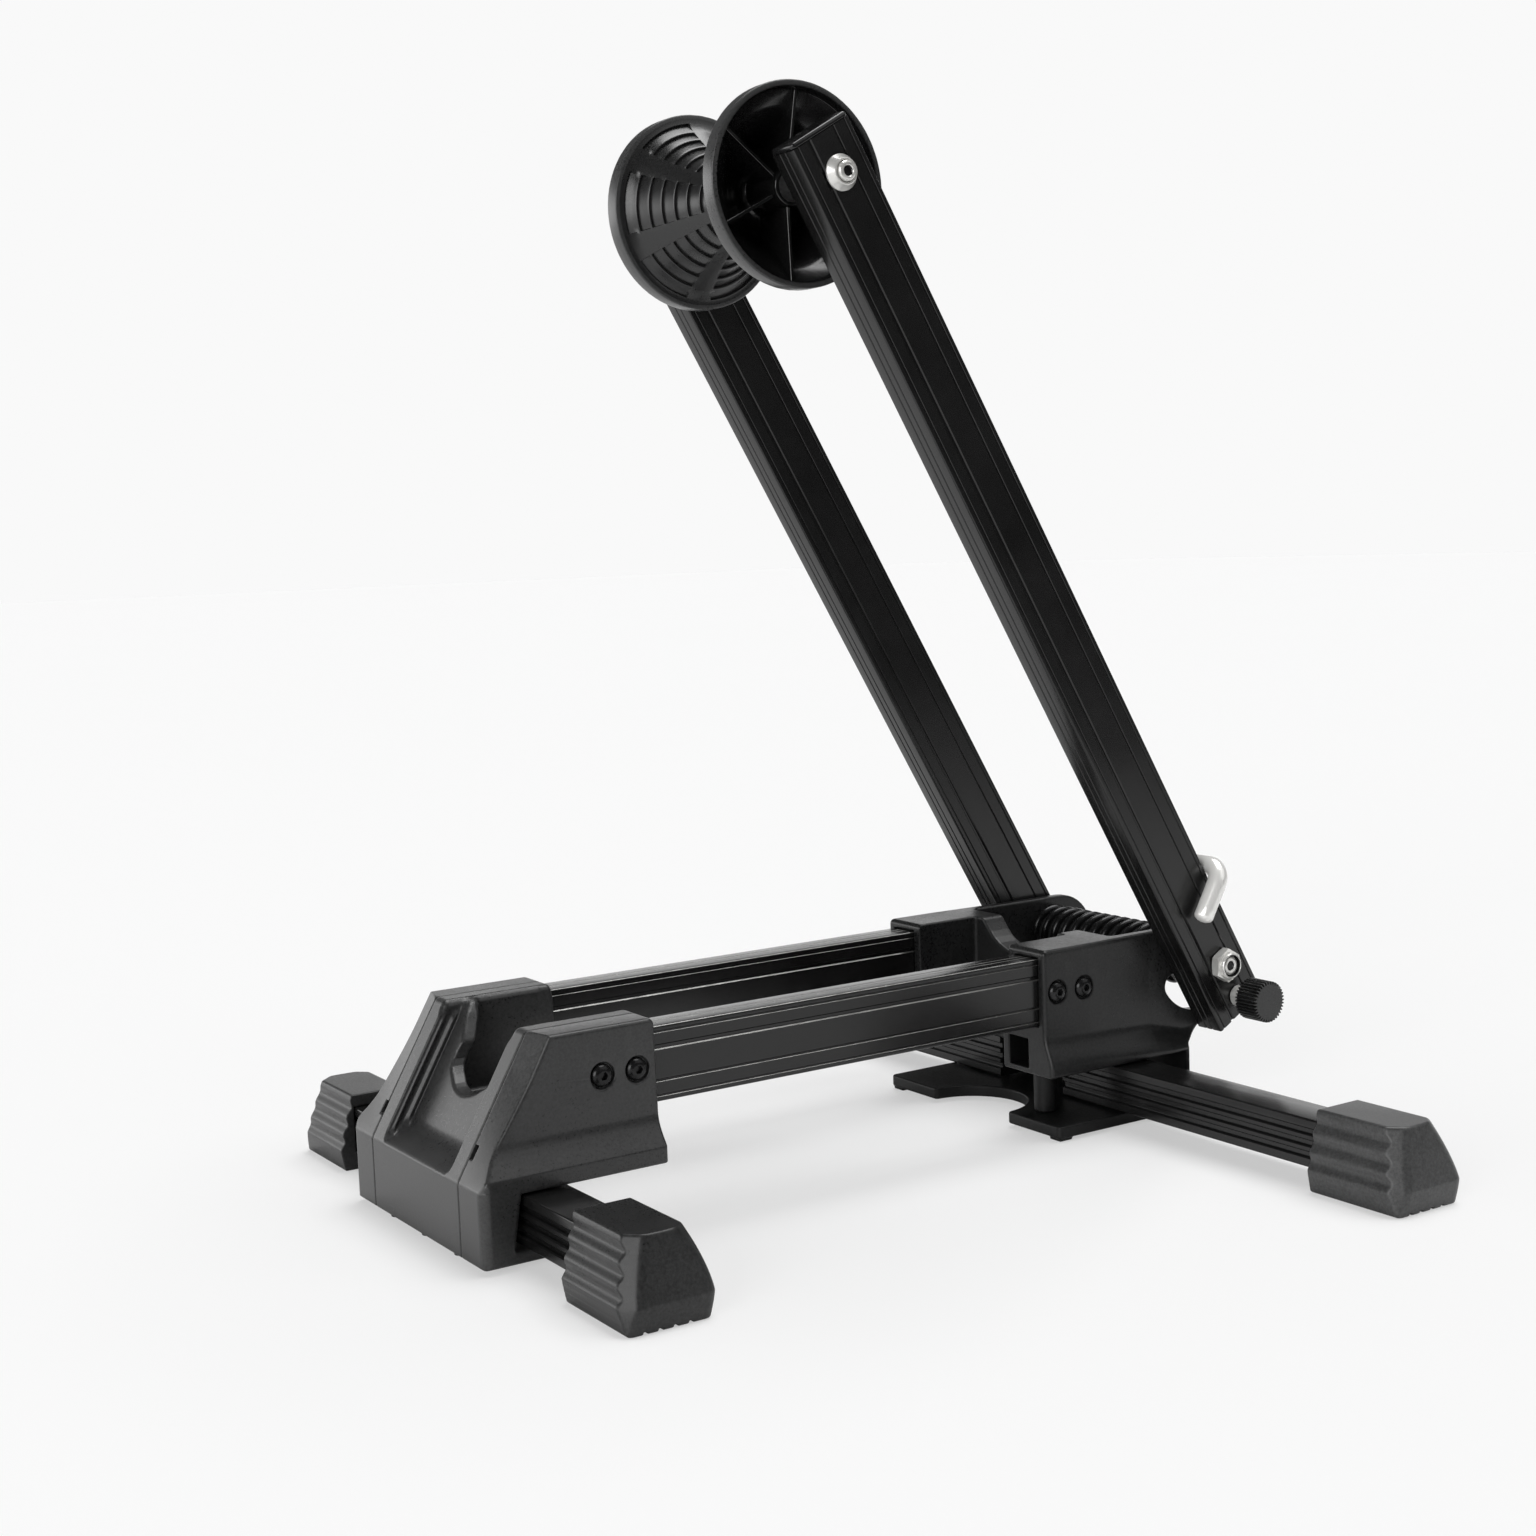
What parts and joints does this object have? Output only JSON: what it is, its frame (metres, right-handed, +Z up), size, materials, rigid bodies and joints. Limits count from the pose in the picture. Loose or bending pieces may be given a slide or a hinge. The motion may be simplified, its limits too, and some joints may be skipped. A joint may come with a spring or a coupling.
{
  "type": "folding bicycle floor stand",
  "caption": "Folding floor stand that cradles a bicycle wheel between two rails, with fold-out footed bars and sprung arms whose waisted roller presses on the tyre.",
  "frame": {"origin": "on the floor, at the middle of the object's box", "axes": "+Z up, +X from the front block to the rear block along the rails, +Y across, the left side is -Y"},
  "size_m": [0.393, 0.449, 0.4461],
  "materials": {
    "black_plastic": "fine-grained moulded plastic",
    "black_metal": "black anodised extrusion",
    "black_steel": "blackened steel",
    "rubber": "soft matt rubber",
    "zinc": "bright zinc plating"
  },
  "bodies": {
    "base": {"front_cradle": "black_plastic", "front_shell_left": "black_plastic", "front_shell_right": "black_plastic", "rail_left": "black_metal", "rail_right": "black_metal", "rear_block": "black_plastic", "base_plate": "black_plastic", "spring_sleeve": "black_plastic", "torsion_spring": "black_steel", "front_bar_pin_left": "black_steel", "front_bar_pin_right": "black_steel", "rear_bar_pin_left": "black_steel", "rear_bar_pin_right": "black_steel", "front_screw_left_1": "black_steel", "front_screw_left_2": "black_steel", "front_screw_right_1": "black_steel", "front_screw_right_2": "black_steel", "rear_screw_left_1": "black_steel", "rear_screw_left_2": "black_steel", "rear_screw_right_1": "black_steel", "rear_screw_right_2": "black_steel"},
    "arms": {"arm_left": "black_metal", "arm_right": "black_metal", "arm_cap_left": "black_plastic", "arm_cap_right": "black_plastic", "pivot_bolt": "zinc", "pivot_nut_left": "zinc", "pivot_nut_right": "zinc", "roller_axle": "zinc", "axle_nut_left": "zinc", "axle_nut_right": "zinc", "axle_spacer_left": "black_plastic", "axle_spacer_right": "black_plastic", "bent_rod": "zinc"},
    "roller_drum": {"roller": "black_plastic"},
    "knob": {"thumb_knob": "black_plastic", "thumb_screw": "zinc"},
    "front_leg_left": {"front_bar_left": "black_metal", "front_foot_left": "rubber"},
    "front_leg_right": {"front_bar_right": "black_metal", "front_foot_right": "rubber"},
    "rear_leg_left": {"rear_bar_left": "black_metal", "rear_foot_left": "rubber"},
    "rear_leg_right": {"rear_bar_right": "black_metal", "rear_foot_right": "rubber"}
  },
  "joints": [
    {"name": "arm_hinge", "type": "hinge", "parent": "base", "child": "arms", "pos_m": [0.169, 0, 0.068], "axis": [0, 1, 0], "range_deg": [0, 82], "stiffness_Nm_per_rad": 1.2, "springref_deg": -34.38},
    {"name": "roller_spin", "type": "hinge", "parent": "arms", "child": "roller_drum", "pos_m": [-0.02811, 0, 0.40546], "axis": [0, 1, 0], "continuous": true},
    {"name": "knob_spin", "type": "hinge", "parent": "arms", "child": "knob", "pos_m": [0.178, -0.0702, 0.05241], "axis": [0, 1, 0], "continuous": true},
    {"name": "front_bar_hinge_left", "type": "hinge", "parent": "base", "child": "front_leg_left", "pos_m": [-0.169, -0.048, 0.0175], "axis": [0, 0, 1], "range_deg": [0, 90]},
    {"name": "front_bar_hinge_right", "type": "hinge", "parent": "base", "child": "front_leg_right", "pos_m": [-0.169, 0.048, 0.0175], "axis": [0, 0, -1], "range_deg": [0, 90]},
    {"name": "rear_bar_hinge_left", "type": "hinge", "parent": "base", "child": "rear_leg_left", "pos_m": [0.1245, -0.052, 0.0175], "axis": [0, 0, -1], "range_deg": [0, 90]},
    {"name": "rear_bar_hinge_right", "type": "hinge", "parent": "base", "child": "rear_leg_right", "pos_m": [0.1245, 0.052, 0.0175], "axis": [0, 0, 1], "range_deg": [0, 90]}
  ]
}
